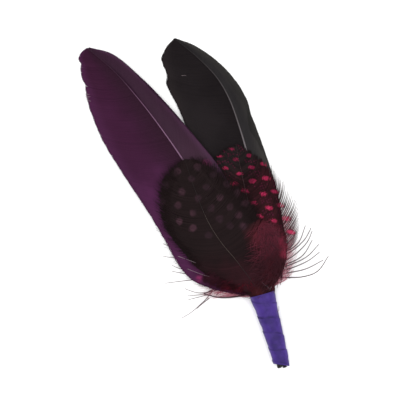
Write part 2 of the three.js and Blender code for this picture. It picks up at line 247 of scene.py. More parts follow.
    # what the material reads
    place = add("GeometryNodeInputPosition")
    turn, stretch = add("ShaderNodeSeparateXYZ", Vector=given["Spot Frame"]).outputs[:2]
    turned = add("ShaderNodeVectorRotate", {"rotation_type": "Z_AXIS"}, Vector=place, Angle=turn)
    stretchBy = add("ShaderNodeCombineXYZ", X=1.0, Y=stretch)
    flat = add(vectorNode, times, i0=turned, i1=stretchBy)
    level = add(vectorNode, times, i0=place, i1=(1, 1, 0))
    distances = []
    points = {"target_element": "POINTS"}
    for cloud, at in (("Spots", flat), ("Patches", level)):
        centres = add("GeometryNodeObjectInfo", Object=given[cloud]).outputs["Geometry"]
        near = add("GeometryNodeProximity", points, i0=centres, Sample_Position=at)
        distances.append(add(mathNode, times, i0=near.outputs["Distance"], i1=1 / mm))
    away, awayPatch = distances
    for name, value in (("patch", awayPatch), ("across", along), ("spot", away)):
        barbs = add(storeNode, store, Geometry=barbs, Name=name, Value=value)

    # a flat barb with a low ridge, leaning on the next like a shingle
    narrow = add(mixNode, single, i0=reach, i2=given["Root Width"], i3=given["Tip Width"])
    smooth = {"interpolation_type": "SMOOTHSTEP"}
    endTaper = add(
        rangeNode, smooth, Value=reach, From_Min=1.0, From_Max=given["Taper From"], To_Min=0.3, To_Max=1.0)
    swell = add(rangeNode, Value=away, From_Min=2.4, From_Max=1.2, To_Max=given["Spot Swell"])
    swollen = add(mathNode, timesPlus, i0=narrow.outputs[0], i1=swell, i2=narrow.outputs[0])
    width = add(mathNode, times, i0=swollen, i1=endTaper)
    barbs = add("GeometryNodeSetCurveNormal", {"mode": "Z_UP"}, Curve=barbs)
    barbs = add("GeometryNodeSetCurveTilt", Curve=barbs, Tilt=given["Shingle"])
    profile = add("GeometryNodeCurvePrimitiveQuadrilateral", {"mode": "KITE"}, Width=1.0,
                  Bottom_Height=given["Thickness"], Top_Height=given["Thickness"])
    solid = add("GeometryNodeCurveToMesh", Curve=barbs, Profile_Curve=profile, Scale=width, Fill_Caps=True)
    solid = add("GeometryNodeRealizeInstances", Geometry=solid)
    solid = add("GeometryNodeSetMaterial", Geometry=solid, Material=given["Material"])
    add("NodeGroupOutput", i0=solid)
    return tree


barbs = barbTree()


def growBarbs(name, lines, material, values):
    obj = lineCurve(name + "Guide", lines)
    grow = obj.modifiers.new("barbs", "NODES")
    grow.node_group = barbs
    given = {
        "Points": 12, "Seed": 1, "Shaft Start": 0.0, "Shaft End": shaftEnd, "Begin": 0.0,
        "Root Power": rootPower, "Tip Power": tipPower, "Bow": 0.1, "Droop Power": 1.5, "Root Width": 0.0005,
        "Tip Width": 0.0005, "Thickness": 0.09, "Shingle": 0.1, "Clumps": 20.0, "Wander Scale": 3.0,
        "Taper From": 0.97, "Bow Late": 1.0, "Split From": 0.78, "Spot Frame": (0.0, 1.0, 0.0),
        "Material": material, "Spots": noSpots, "Patches": noSpots,
    }
    given.update(values)
    for item in barbs.interface.items_tree:
        if item.in_out == "INPUT" and item.name in given:
            grow[item.identifier] = given[item.name]
    return settle(obj, name)


def spotCloud(name, centres, turn=0.0, stretch=1.0):
    # spot centres as bare points, in the turned and stretched frame that makes an ellipse round
    c, s = math.cos(turn), math.sin(turn)
    mesh = bpy.data.meshes.new(name)
    mesh.from_pydata([((x * c - y * s) * mm, (x * s + y * c) * stretch * mm, 0) for x, y in centres], [], [])
    return newObject(name, mesh)


noSpots = spotCloud("noSpots", [(0, 900)])


def newMaterial(name):
    material = bpy.data.materials.new(name)
    material.use_nodes = True
    tree = material.node_tree
    tree.nodes.clear()
    return material, tree


def blend(tree, factor, below, above):
    # two colours, or links to them, mixed by a factor
    below, above = (hexColour(c) if isinstance(c, str) else c.outputs[2] for c in (below, above))
    return addNode(tree, mixNode, {"data_type": "RGBA"}, i0=factor, i6=below, i7=above)


def stored(tree, name):
    # a number that a piece's geometry carries
    return addNode(tree, "ShaderNodeAttribute", {"attribute_name": name}).outputs["Fac"]


def ramp(tree, value, start, end):
    smooth = {"interpolation_type": "SMOOTHSTEP"}
    return addNode(tree, rangeNode, smooth, Value=value, From_Min=start, From_Max=end)


def vaneMaterial(name, look):
    # Dyed feather vane. Hooked barbs lie close and take the dye unevenly, so the eye gets a dark satin with a
    # faint grain along the barbs and hardly any gloss. Shade near the shaft and a highlight towards the edge
    # are painted in.
    material, tree = newMaterial(name)
    add = partial(addNode, tree)
    pick = stored(tree, "pick")
    place = add("ShaderNodeTexCoord").outputs["Object"]
    cloud = add(noiseNode, Vector=place, Scale=look["cloudScale"], Detail=3.0).outputs[0]
    ground = blend(tree, ramp(tree, cloud, 0.38, 0.62), look["dark"], look["light"])
    if "tip" in look:
        height = add("ShaderNodeSeparateXYZ", Vector=place).outputs[1]
        high = ramp(tree, height, look["tipFrom"] * mm, look["tipTo"] * mm)
        ground = blend(tree, high, ground, look["tip"])
    # painted shade: darker towards the shaft
    if "inner" in look:
        ground = blend(tree, ramp(tree, stored(tree, "across"), look["innerTo"], 0.0), ground, look["inner"])
    # painted highlight: lighter towards the vane's edge
    if "rim" in look:
        ground = blend(tree, ramp(tree, stored(tree, "across"), look["rimFrom"], 1.0), ground, look["rim"])
    if "patchLight" in look:
        # patches of down or stray dye, with a ragged rim
        scale = look["patchScale"]
        ragged = add(noiseNode, Vector=place, Scale=scale, Detail=4.0, Roughness=0.65).outputs[0]
        mottled = add(noiseNode, Vector=place, Scale=scale * 0.7, Detail=3.0).outputs[0]
        bay = add(mathNode, timesPlus, i0=ragged, i1=look["patchRagged"], i2=stored(tree, "patch"))
        rim = look["patchRadius"] + look["patchRagged"] / 2
        inside = ramp(tree, bay, rim + look["patchSoft"], rim - look["patchSoft"])
        down = blend(tree, ramp(tree, mottled, 0.4, 0.6), look["patchDark"], look["patchLight"])
        ground = blend(tree, inside, ground, down)
    if "spotLight" in look:
        spot = stored(tree, "spot")
        warp = add(noiseNode, Vector=place, Scale=420.0, Detail=2.0).outputs[0]
        warped = add(mathNode, timesPlus, i0=warp, i1=look["spotWarp"], i2=spot)
        ragged = add(mathNode, timesPlus, i0=pick, i1=look["ragged"], i2=warped)
        if "spotTip" in look:
            # smaller spots towards the tip
            height = add("ShaderNodeSeparateXYZ", Vector=place).outputs[1]
            smaller = ramp(tree, height, look["tipFrom"] * mm, look["tipTo"] * mm)
            ragged = add(mathNode, timesPlus, i0=smaller, i1=look["spotTip"], i2=ragged)
        radius, soft = look["spotRadius"], look["spotSoft"]
        inside = ramp(tree, ragged, radius + soft, radius - soft)
        inSpot = blend(tree, ramp(tree, cloud, 0.4, 0.6), look["spotDark"], look["spotLight"])
        if "dotted" in look:
            # rows of pin dots between the spots
            dots = add("ShaderNodeTexVoronoi", Vector=place, Scale=look["dotScale"], Randomness=0.35)
            dot = ramp(tree, dots.outputs["Distance"], 0.42, 0.22)
            clear = ramp(tree, spot, radius + 0.4, radius + 0.9)
            shown = add(mathNode, times, i0=dot, i1=clear)
            ground = blend(tree, shown, ground, look["dotted"])
        ground = blend(tree, inside, ground, inSpot)
    strength = add(rangeNode, Value=pick, To_Min=1 - look["vary"], To_Max=1 + look["vary"])
    coloured = add(vectorNode, scaled, i0=ground.outputs[2], Scale=strength)
    shader = add(
        "ShaderNodeBsdfPrincipled", Base_Color=coloured, Roughness=look["roughness"], IOR=1.54,
        Specular_IOR_Level=look["gloss"], Sheen_Weight=0.01, Sheen_Roughness=0.4,
        Sheen_Tint=hexColour(look["sheenTint"]))
    add("ShaderNodeOutputMaterial", Surface=shader.outputs[0])
    return material


def keratinMaterial(name, stops, roughness=0.4):
    # Bare keratin of shafts and loose barbs: smooth and horn-like, so a thick shaft stands out pale against
    # the dyed vane and takes its colour where it thins out. The cut end is painted dark: painted shade inside
    # the open bore, and the cut edge nearly as dark.
    material, tree = newMaterial(name)
    add = partial(addNode, tree)
    place = add("ShaderNodeTexCoord").outputs["Object"]
    height = add("ShaderNodeSeparateXYZ", Vector=place).outputs[1]
    streak = add(noiseNode, Vector=place, Scale=400.0, Detail=2.0).outputs[0]
    uneven = add(mathNode, timesPlus, i0=streak, i1=0.004, i2=height)
    colour = add(mixNode, {"data_type": "RGBA"}, i0=0.0, i6=hexColour(stops[0][1]))
    for (start, _), (end, further) in zip(stops, stops[1:]):
        colour = blend(tree, ramp(tree, uneven, start * mm, end * mm), colour, further)
    # painted shade inside the open bore, and the cut edge nearly as dark
    colour = blend(tree, stored(tree, "hollow"), colour, "#120d10")
    shader = add(
        "ShaderNodeBsdfPrincipled", Base_Color=colour.outputs[2], Roughness=roughness, IOR=1.54,
        Specular_IOR_Level=0.2)
    add("ShaderNodeOutputMaterial", Surface=shader.outputs[0])
    return material


def tapeMaterial(name, look):
    # Violet satin tape: woven threads give a soft broad gloss, and painted shade draws a darker line along
    # the edge of each lap.
    material, tree = newMaterial(name)
    add = partial(addNode, tree)
    place = add("ShaderNodeTexCoord").outputs["Object"]
    scale = look["creaseShadeScale"]
    # light and dark patches at the scale of the creases: partly random tone of the satin, partly painted
    # shade and light of the creases
    cloud = add(noiseNode, Vector=place, Scale=scale, Detail=4.0, Roughness=0.6).outputs[0]
    cloth = blend(tree, ramp(tree, cloud, 0.35, 0.65), look["dark"], look["light"])
    # painted highlight: the satin is painted lighter in uneven patches over the shoulders of the stem
    uneven = add(noiseNode, Vector=place, Scale=scale * 2, Detail=2.0).outputs[0]
    paintedShoulderSheen = add(mathNode, times, i0=stored(tree, "shoulderSheen"), i1=uneven)
    cloth = blend(tree, paintedShoulderSheen, cloth, look["edge"])
    # painted shade under the edge of each lap
    cloth = blend(tree, stored(tree, "lapShade"), cloth, look["lap"])
    weave = add(noiseNode, Vector=place, Scale=1 / (look["thread"] * mm), Detail=1.0).outputs[0]
    bump = add("ShaderNodeBump", Strength=0.12, Distance=0.00005, Height=weave)
    shader = add(
        "ShaderNodeBsdfPrincipled", Base_Color=cloth.outputs[2], Roughness=0.5, IOR=1.5,
        Specular_IOR_Level=0.15, Sheen_Weight=0.02, Sheen_Roughness=0.4, Normal=bump)
    add("ShaderNodeOutputMaterial", Surface=shader.outputs[0])
    return material


def meshPiece(name, vertices, faces, material, attributes):
    mesh = bpy.data.meshes.new(name)
    mesh.from_pydata([tuple(v) for v in vertices], [], [tuple(f) for f in faces])
    for key, values in attributes.items():
        mesh.attributes.new(key, "FLOAT", "POINT").data.foreach_set("value", np.asarray(values, np.float32))
    mesh.materials.append(material)
    mesh.polygons.foreach_set("use_smooth", [True] * len(mesh.polygons))
    return newObject(name, mesh)


def ringFaces(rings, sides, closed=False):
    # quads between rings of points, with a face over each end unless the rings run round to the first
    faces = []
    for i in range(rings if closed else rings - 1):
        a, b = i * sides, (i + 1) % rings * sides
        faces += [(a + k, b + k, b + (k + 1) % sides, a + (k + 1) % sides) for k in range(sides)]
    if not closed:
        faces.append(tuple(range(sides)))
        faces.append(tuple(reversed(range((rings - 1) * sides, rings * sides))))
    return faces


def tubeRings(line, radii, sides):
    line = np.asarray(line, float)
    ahead = np.gradient(line, axis=0)
    ahead /= np.linalg.norm(ahead, axis=1)[:, None]
    side = np.cross(ahead, (0, 0, 1))
    side /= np.linalg.norm(side, axis=1)[:, None]
    up = np.cross(side, ahead)
    turn = np.linspace(0, 2 * math.pi, sides, endpoint=False)[None, :, None]
    around = np.cos(turn) * side[:, None] + np.sin(turn) * up[:, None]
    return line[:, None] + np.asarray(radii)[:, None, None] * around


def makeShaft(name, line, radii, material, hollow=2.0 * mm, sides=12):
    # a solid shaft whose cut end is open for a little way, as a quill is
    rings = tubeRings(line, radii, sides)
    ahead = (line[1] - line[0]) / np.linalg.norm(line[1] - line[0])
    mouth = line[0] + (rings[0] - line[0]) * 0.72  # the rest is the quill's wall
    rings = np.concatenate([[mouth + ahead * hollow, mouth], rings])
    # painted shade inside the bore
    dark = np.zeros(rings.shape[:2])
    dark[:2] = 1
    dark[2:5] = 0.85  # the cut edge is nearly as dark as the bore
    faces = ringFaces(len(rings), sides)
    return meshPiece(name, rings.reshape(-1, 3), faces, material, {"hollow": dark.ravel()})


def makeHairs(name, lines, width, material, sides=5, count=16):
    # single loose barbs laid one by one, each finer to its tip
    vertices, faces = [], []
    for line in lines:
        path = smoothLine(line, count)
        rings = tubeRings(path, np.linspace(1, 0.5, count) * width * mm / 2, sides)
        faces += [tuple(v + len(vertices) for v in face) for face in ringFaces(count, sides)]
        vertices += list(rings.reshape(-1, 3))
    return meshPiece(name, vertices, faces, material, {"hollow": [0.0] * len(vertices)})


def dress(piece, node):
    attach(piece, "root")
    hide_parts(node)


def makeFeather(node, feather):
    shaft = smoothLine(feather["shaft"], 120)
    shaftLength = np.linalg.norm(np.diff(shaft, axis=0), axis=1).sum()
    start = min(feather["left"]["start"], feather["right"]["start"])
    turn, stretch = feather.get("spotTurn", 0.0), feather.get("spotStretch", 1.0)
    spots = spotCloud(node + "Spots", feather.get("spots", farAway), turn, stretch)
    patches = spotCloud(node + "Patches", feather.get("patches", farAway))
    marks = {"Spots": spots, "Patches": patches, "Spot Frame": (turn, stretch, 0.0)}
    for side, sign in (("left", -1), ("right", 1)):
        vane = feather[side]
        begin = ((vane["start"] - start) / (shaftEnd - start)) ** (1 / rootPower)
        edge = smoothLine(vane["edge"], 160)
        edgeLength = np.linalg.norm(np.diff(edge, axis=0), axis=1).sum()
        count = vane["barbs"]
        values = {
            "Barbs": count, "Points": feather["points"],
            "Shaft Start": start + (shaftEnd - start) * begin ** rootPower, "Bow": vane["bow"] * sign,
            "Root Width": rootOverlap * shaftLength / count, "Tip Width": tipOverlap * edgeLength / count,
            "Fray": 0.006, "Clump Pull": 0.004, "Tip Spread": 0.0006, "Seed": 11 if sign < 0 else 23,
            "Shingle": 0.1 * sign, **marks,
        }
        values.update(vane.get("values", {}))
        material = vane.get("material", feather["material"])
        dress(growBarbs(node + "_" + side + "_vane", [shaft, edge], material, values), node)
    for name, loose in feather.get("loose", {}).items():
        values = {
            "Points": 24, "Shaft End": 1.0, "Root Power": 1.0, "Tip Power": 1.0, "Thickness": 0.5,
            "Shingle": 0.0, "Clumps": 1.0, "Taper From": 0.5, "Droop Power": 1.0, **marks,
        }
        values.update(loose["values"])
        roots = smoothLine(loose["roots"], 60) if "roots" in loose else shaft
        guides = [roots, smoothLine(loose["tips"], 60)]
        dress(growBarbs(node + "_" + name, guides, loose["material"], values), node)
    for name, hairs in feather.get("hairs", {}).items():
        dress(makeHairs(node + "_" + name, hairs["lines"], hairs["width"], hairs["material"]), node)
    quill = smoothLine(feather["quill"] + feather["shaft"][1:], 140)
    share = np.linspace(0, 1, len(quill))
    butt, mouth, tip = feather["radii"]
    mouthAt = quillLength / (quillLength + shaftLength / mm)
    places = [0, mouthAt, (1 + mouthAt) / 2, 1]
    radii = np.interp(share, places, [butt, mouth, mouth * feather["waist"], tip]) * mm
    quill[:, 2] += feather["lift"] * mm
    dress(makeShaft(node + "_shaft", quill, radii, feather["shaftMaterial"]), node)
    bpy.data.objects.remove(spots)
    bpy.data.objects.remove(patches)
    print(node, "made")


farAway = [[0, 900]]


# Points are [x, y, z] in mm. Widths, drops and wandering under "values" are in metres.
wispKeratin = keratinMaterial("wispKeratin", [(0, "#472b32"), (60, "#523a40")], 0.5)
pinkDown = keratinMaterial("pinkDownKeratin", [(0, "#a86a78"), (40, "#b8707f")], 0.6)
paleKeratin = keratinMaterial("paleKeratin", [(0, "#a8949c"), (26, "#7d6a74"), (60, "#b0a0a4")], 0.5)
darkKeratin = keratinMaterial("darkBarbKeratin", [(10, "#3a141d"), (26, "#39222a")], 0.5)

purpleLook = {
    "cloudScale": 55.0, "patchDark": "#581f45", "patchLight": "#72264f", "patchRadius": 1.2,
    "patchSoft": 0.9, "patchRagged": 0.8, "patchScale": 900.0, "vary": 0.07, "roughness": 0.5,
    "sheenTint": "#8a5a86",
}
purple = {
    "quill": [[-3.55, -13.6, 1.75], [-2.15, -6, 2.1], [-0.5, 4, 2.9], [1.0, 14, 4.0]],
    "shaft": [
        [1.0, 14, 4.0], [1.7, 22, 4.7], [1.2, 32.6, 5.4], [-1.4, 52.4, 6.2], [-3.2, 69.6, 6.4],
        [-4.8, 80, 6.1], [-8.1, 96.2, 4.9], [-12.8, 112.7, 2.7], [-18.3, 125.3, 0.7],
    ],
    "radii": [0.8, 0.8, 0.05], "waist": 0.31, "lift": 0.12, "points": 16,
    "left": {
        "start": 0.006, "bow": 0.1, "barbs": 430,
        "edge": [
            [-3.0, 16.6, 3.7], [-8.2, 19.9, 3.3], [-14.8, 24.7, 2.9], [-20.0, 30.9, 2.7], [-22.0, 38.5, 2.6],
            [-22.6, 48.6, 2.5], [-23.6, 59, 2.4], [-26.1, 75.9, 2.0], [-27.9, 92, 1.4], [-27.2, 104.5, 0.8],
            [-26.5, 108.6, 0.7], [-25.8, 111, 0.6], [-24.9, 113.6, 0.5], [-25.1, 115.5, 0.45],
            [-24.6, 117.6, 0.4], [-23.8, 119.7, 0.35], [-22.9, 120.9, 0.35], [-23.2, 122.6, 0.3],
            [-22.3, 124, 0.3], [-20.4, 124.9, 0.3], [-18.6, 125.2, 0.3],
        ],
        "values": {"Clump Pull": 0.006, "Clumps": 44.0, "Split From": 0.84, "Scallop": 0.02},
    },
    "right": {
        "start": 0.13, "bow": 0.06, "barbs": 400,
        "edge": [
            [6.9, 35, 4.9], [8.4, 47, 5.1], [8.2, 57, 5.2], [7.1, 66.2, 5.2], [4.5, 76.5, 4.9],
            [0.7, 90.7, 4.2], [-4.7, 106.5, 2.8], [-10.8, 119.2, 1.2], [-17.4, 125.0, 0.3],
        ],
        "material": vaneMaterial("dyedPurpleNarrowVane", {
            **purpleLook, "dark": "#301928", "light": "#381f32", "tip": "#2c1526", "tipFrom": 66,
            "tipTo": 86, "rim": "#3b2036", "rimFrom": 0.6, "gloss": 0.08}),
    },
    "patches": [[-16.7, 29.3], [4.3, 66.6], [3.3, 67.1]],
    "material": vaneMaterial("dyedPurpleVane", {
        **purpleLook, "dark": "#371530", "light": "#4a2044", "tip": "#321229", "tipFrom": 50, "tipTo": 120,
        "inner": "#2b1323", "innerTo": 0.55, "rim": "#421d3c", "rimFrom": 0.7, "gloss": 0.05}),
    "shaftMaterial": keratinMaterial("purpleRachisKeratin", [
        (6, "#1c1519"), (14, "#8a6b82"), (50, "#7d5e76"), (85, "#6f4f68"), (101, "#5f3f57"),
        (113, "#32142a")]),
    "hairs": {
        "wisps": {
            "material": wispKeratin, "width": 0.36,
            "lines": [
                [[-12, 34, 2.6], [-18.5, 33.6, 1.9], [-21.7, 35.6, 1.5], [-24, 38.1, 1.3]],
                [[-12, 30, 2.4], [-17.5, 31.3, 1.8], [-21.1, 33.3, 1.4], [-25, 36.1, 1.2]],
                [[-12, 27, 2.2], [-19.5, 29.9, 1.6], [-24.4, 31.5, 1.2], [-29.2, 33, 1.0]],
                [[-9, 22, 2.0], [-15.9, 23.1, 1.5], [-19.8, 24.8, 1.2], [-23.3, 28.1, 1.0]],
                [[-7, 21, 2.0], [-13.2, 22.7, 1.5], [-18.4, 23.4, 1.1], [-23.7, 25.2, 1.0]],
                [[-6, 21, 1.9], [-12, 22.6, 1.4], [-16.8, 22.5, 1.1], [-23.8, 23.7, 0.9]],
                [[-7, 23, 1.9], [-14, 22.7, 1.3], [-18.2, 20.9, 1.0], [-25, 18.9, 0.9], [-28.9, 18.5, 0.9]],
                [[-16.4, 20.9, 1.0], [-19.4, 20.2, 0.9], [-22.4, 19.3, 0.9]],
                [[-10, 40, 3], [-19, 39.4, 2.0], [-22.6, 40.6, 1.5], [-25.4, 42.4, 1.3]],
                [[-12, 44, 3], [-20, 43.6, 2.0], [-23.6, 46.8, 1.4]],
            ],
        },
        "darkBarbs": {
            "material": darkKeratin, "width": 0.75,
            "lines": [
                [[0.9, 16.6, 4.2], [-3.5, 16.6, 3.9], [-12, 19.2, 2.6], [-17.5, 23.1, 1.2]],
                [[-8, 24, 2.2], [-12.9, 23.3, 1.4], [-17.4, 23.2, 0.9]],
                [[-6, 22.5, 2.0], [-10.3, 21.5, 1.4], [-13.4, 21.0, 1.0]],
            ],
        },
        "paleHairs": {
            "material": paleKeratin, "width": 0.14,
            "lines": [
                [[-26.8, 110.4, 0.9], [-25.8, 109.4, 1.15], [-24.9, 109.0, 1.2]],
                [[-27.2, 109.0, 0.9], [-26.2, 108.6, 1.1], [-25.0, 108.0, 1.25]],
                [[-27.0, 107.6, 0.9], [-26.2, 107.2, 1.1], [-25.4, 106.2, 1.2]],
                [[-20.3, 40.2, 3.4], [-17.4, 37.4, 4.9], [-15.3, 35.3, 5.4]],
                [[-19.1, 34.4, 3.4], [-15.6, 30.9, 4.9], [-12.9, 28.5, 5.4]],
            ],
        },
    },
    "loose": {
        "lowDown": {
            "material": pinkDown,
            "tips": [[-9, 18.9, 1.0], [-13.5, 20.2, 1.0], [-17.6, 21.4, 1.0], [-19.6, 23.4, 1.0],
                     [-20.3, 25.8, 1.1], [-19.8, 28, 1.2]],
            "values": {
                "Barbs": 130, "Seed": 5, "Shaft End": 0.08, "Bow": -0.05, "Root Width": 0.00014,
                "Tip Width": 0.0001, "Tip Spread": 0.12, "Fray": 0.35, "Wander": 0.0018, "Wander Scale": 4.0,
                "Drop": 0.0008,
            },
        },
        "fringe": {
            "material": wispKeratin,
            "tips": [[-19.6, 28, 1.4], [-22.0, 33, 1.5], [-23.6, 39, 1.6], [-24.2, 46, 1.7],
                     [-24.4, 54, 1.8]],
            "values": {
                "Barbs": 70, "Seed": 9, "Shaft Start": 0.04, "Shaft End": 0.25, "Bow": -0.08,
                "Root Width": 0.00018, "Tip Width": 0.00012, "Tip Spread": 0.06, "Fray": 0.16,
                "Wander": 0.0015, "Wander Scale": 4.0, "Drop": 0.0008,
            },
        },
    },
}
blackLook = {"cloudScale": 35.0, "vary": 0.09, "sheenTint": "#77716f"}
black = {
    "quill": [[-1.7, -14.3, 1.8], [-0.15, -6, 1.85], [1.8, 4, 1.9], [3.7, 14, 1.98]],
    "shaft": [
        [3.7, 14, 1.98], [7.2, 24, 2.0], [11.6, 37, 2.1], [16.2, 52, 2.2], [19.1, 63.5, 2.3],
        [20.9, 75, 2.4], [21.8, 85.6, 2.3], [20.9, 94.8, 1.9], [17.3, 105.2, 1.2], [12.7, 114.8, 0.6],
    ],
    "radii": [0.8, 0.8, 0.05], "waist": 0.4, "lift": 0.12, "points": 16,
    "left": {
        "start": 0.1, "bow": 0.1, "barbs": 380,
        "edge": [
            [2.2, 33, 1.5], [1.6, 48, 1.5], [2.2, 66, 1.4], [2.7, 82, 1.1], [2.9, 92.4, 0.7],
            [2.5, 98.4, 0.5], [2.9, 101.7, 0.4], [4.2, 103.7, 0.35], [4.4, 105.6, 0.35], [5.1, 110.2, 0.3],
            [8.8, 113.2, 0.3], [12.6, 114.6, 0.3],
        ],
        "values": {"Clump Pull": 0.008, "Clumps": 30.0, "Split From": 0.84, "Scallop": 0.035},
    },
    "right": {
        "start": 0.006, "bow": 0.06, "barbs": 410,
        "edge": [
            [9.4, 15.2, 1.0], [15.2, 21, 0.8], [19.8, 31.8, 0.7], [23.1, 43.5, 0.7], [25.2, 56.1, 0.8],
            [26.4, 68.7, 0.8], [27.0, 77.6, 0.7], [27.9, 84.2, 0.6], [25.4, 96.6, 0.4], [19, 108.6, 0.3],
            [13.4, 114.4, 0.3],
        ],
        "values": {"Scallop": 0.06, "Clumps": 24.0, "Split From": 0.9},
        "material": vaneMaterial("blackNarrowVane", {
            **blackLook, "dark": "#161315", "light": "#201d1e", "rim": "#2f2c2a", "rimFrom": 0.2,
            "roughness": 0.45, "gloss": 0.1}),
    },
    "material": vaneMaterial("blackVane", {
        **blackLook, "dark": "#140f11", "light": "#1b1618", "rim": "#1f1a1b", "rimFrom": 0.7,
        "roughness": 0.5, "gloss": 0.05}),
    "hairs": {
        "fleck": {
            "material": paleKeratin, "width": 0.06,
            "lines": [[[9.3, 100.7, 1.5], [10.2, 100.4, 1.7], [11.0, 99.9, 1.6]]],
        },
    },
    "shaftMaterial": keratinMaterial("blackRachisKeratin", [
        (6, "#171315"), (14, "#6a6366"), (60, "#6a6366"), (82, "#4a4446"), (98, "#332e2f"),
        (108, "#1c1718")]),
}
pinkSpotted = {
    "quill": [[-1.7, -13.1, 3.35], [-0.2, -5, 3.5], [1.8, 4, 3.75], [4.0, 14, 3.95]],
    "shaft": [
        [4.0, 14, 3.95], [7.2, 26, 4.1], [10.2, 38, 4.3], [12.4, 50, 4.4], [14.6, 60, 4.3], [16.8, 68.9, 4.1],
    ],
    "radii": [0.42, 0.13, 0.04], "waist": 0.8, "lift": 0.12, "points": 48,
    "left": {
        "start": 0.22, "bow": 0.08, "barbs": 160,
        "edge": [[-0.6, 42, 3.1], [-0.8, 52, 3.2], [1.2, 61, 3.3], [6, 67, 3.5], [12, 69, 3.8],
                 [16.0, 68.6, 3.9]],
        "values": {"Fray": 0.1},
    },
    "right": {
        "start": 0.14, "bow": 0.16, "barbs": 160,
        "edge": [
            [19.4, 28.2, 2.3], [20.6, 35.2, 2.3], [22.3, 42, 2.5], [24.1, 48.5, 2.6], [24.8, 55.5, 2.9],
            [22.0, 63, 3.4], [17.6, 68.6, 3.9],
        ],
        "values": {"Fray": 0.14, "Tip Width": 0.0002, "Taper From": 0.9},
    },
    # the spots lie in slanting rows, longer across the feather than along it
    "spots": [
        [14.6, 67.8], [9.6, 67.2], [19.4, 63], [14.4, 63.6], [9.6, 62.4], [18.2, 58.8], [13.4, 58.4],
        [23.4, 57.6], [21.6, 52.6], [16.8, 53.6], [10, 55.8], [12.6, 51.6], [18.2, 47.8], [22.4, 46.8],
        [13.4, 46.4], [18, 42.2], [22.3, 41.2], [17.4, 37.2], [13.3, 41], [22.2, 35.8], [21.7, 30.4],
        [21, 23.4],
    ],
    "spotTurn": 0.6, "spotStretch": 1.85,
    "material": vaneMaterial("pinkSpottedVane", {
        "dark": "#1b0a0d", "light": "#2a0f14", "cloudScale": 90.0, "vary": 0.4, "spotDark": "#6a1633",
        "spotLight": "#902142", "spotRadius": 2.3, "spotSoft": 0.3, "spotWarp": 0.8, "ragged": 1.1,
        "spotTip": 0.45, "dotted": "#3f1225", "dotScale": 1050.0, "tip": "#1a1415", "tipFrom": 53,
        "tipTo": 64, "roughness": 0.55, "gloss": 0.04, "sheenTint": "#8a6a70"}),
    "shaftMaterial": keratinMaterial("pinkRachisKeratin", [(6, "#1c1215"), (40, "#4d343a"), (62, "#2c181c")]),
    "loose": {
        "comb": {
            "material": vaneMaterial("pinkSpottedLooseBarbs", {
                "dark": "#2c1118", "light": "#421821", "cloudScale": 90.0, "rim": "#46373a", "rimFrom": 0.72,
                "vary": 0.2, "spotDark": "#80193a", "spotLight": "#a8284f", "spotRadius": 2.3,
                "spotSoft": 0.5, "spotWarp": 0.8, "ragged": 0.8, "roughness": 0.5, "gloss": 0.3,
                "sheenTint": "#8a6a70"}),
            "tips": [
                [23.4, 27.6, 0.9], [26.0, 31.4, 1.0], [27.5, 35.3, 1.1], [28.5, 38.8, 1.2], [28.6, 41.9, 1.3],
                [28.1, 45.4, 1.4], [27.5, 48.4, 1.5], [26.9, 52.0, 1.6], [25.8, 57.6, 1.6],
            ],
            "values": {
                "Barbs": 34, "Points": 48, "Seed": 3, "Taper From": 0.75, "Shaft Start": 0.15,
                "Shaft End": 0.42, "Bow": 0.1, "Bow Late": 1.5, "Root Width": 0.00044, "Tip Width": 0.00028,
                "Spot Swell": 0.7, "Tip Spread": 0.003, "Fray": 0.06, "Drop": 0.0003,
            },
        },
        "haze": {
            "material": pinkDown,
            "tips": [[16.6, 16.6, 0.9], [19.0, 19.4, 1.0], [21.4, 23.4, 1.1], [23.8, 28.4, 1.2],
                     [25.4, 35, 1.3], [25.8, 41, 1.4]],
            "values": {
                "Barbs": 240, "Seed": 17, "Shaft Start": 0.03, "Shaft End": 0.34, "Bow": 0.1,
                "Root Width": 0.00014, "Tip Width": 0.00009, "Tip Spread": 0.05, "Fray": 0.3, "Wander": 0.002,
                "Wander Scale": 4.0, "Drop": 0.0004,
            },
        },
    },
    "hairs": {
        "fan": {
            "material": darkKeratin, "width": 0.5,
            "lines": [
                [[10, 26, 2.4], [17.3, 24.7, 2.0], [22.6, 25.7, 1.5], [27.7, 30.4, 1.0]],
                [[10, 25, 2.4], [17.3, 23.8, 2.0], [24.8, 25.6, 1.4], [29.3, 28.7, 1.0]],
                [[9, 23, 2.4], [16.8, 21.8, 2.0], [25.5, 24.4, 1.3], [29.2, 27.5, 0.9]],
                [[9, 22, 2.4], [16.1, 20.3, 1.9], [22.1, 20.7, 1.4], [27.8, 24.4, 0.9]],
                [[8, 21, 2.4], [15.8, 19.6, 1.9], [23.3, 19.6, 1.3], [29.3, 21.9, 0.9]],
                [[8, 20, 2.4], [14.8, 18.4, 1.9], [23.0, 18.0, 1.2], [28.3, 19.1, 0.8]],
                [[7, 19, 2.4], [14.0, 17.2, 1.8], [21.0, 15.6, 1.2], [28.2, 15.8, 0.8]],
                [[6, 18, 2.4], [12.4, 16.0, 1.8], [18.7, 13.4, 1.2], [24.6, 12.9, 0.9], [30.7, 16.4, 0.9]],
                [[6, 17.4, 2.2], [11.7, 16.5, 1.4], [14.2, 14.9, 1.0]],
            ],
        },
    },
}
downLook = {"cloudScale": 190.0, "roughness": 0.7, "gloss": 0.05, "sheenTint": "#a05a60"}
crimsonDown = vaneMaterial("crimsonDown", {
    **downLook, "dark": "#33141a", "light": "#461b23", "cloudScale": 120.0, "tip": "#652a38",
    "tipFrom": 24.5, "tipTo": 28.5, "rim": "#702a3b", "rimFrom": 0.6, "inner": "#3f2028", "innerTo": 0.4,
    "spotDark": "#5c1f2b", "spotLight": "#8a2e44", "spotRadius": 2.8, "spotSoft": 1.2, "spotWarp": 1.5,
    "ragged": 0.6, "vary": 0.12})
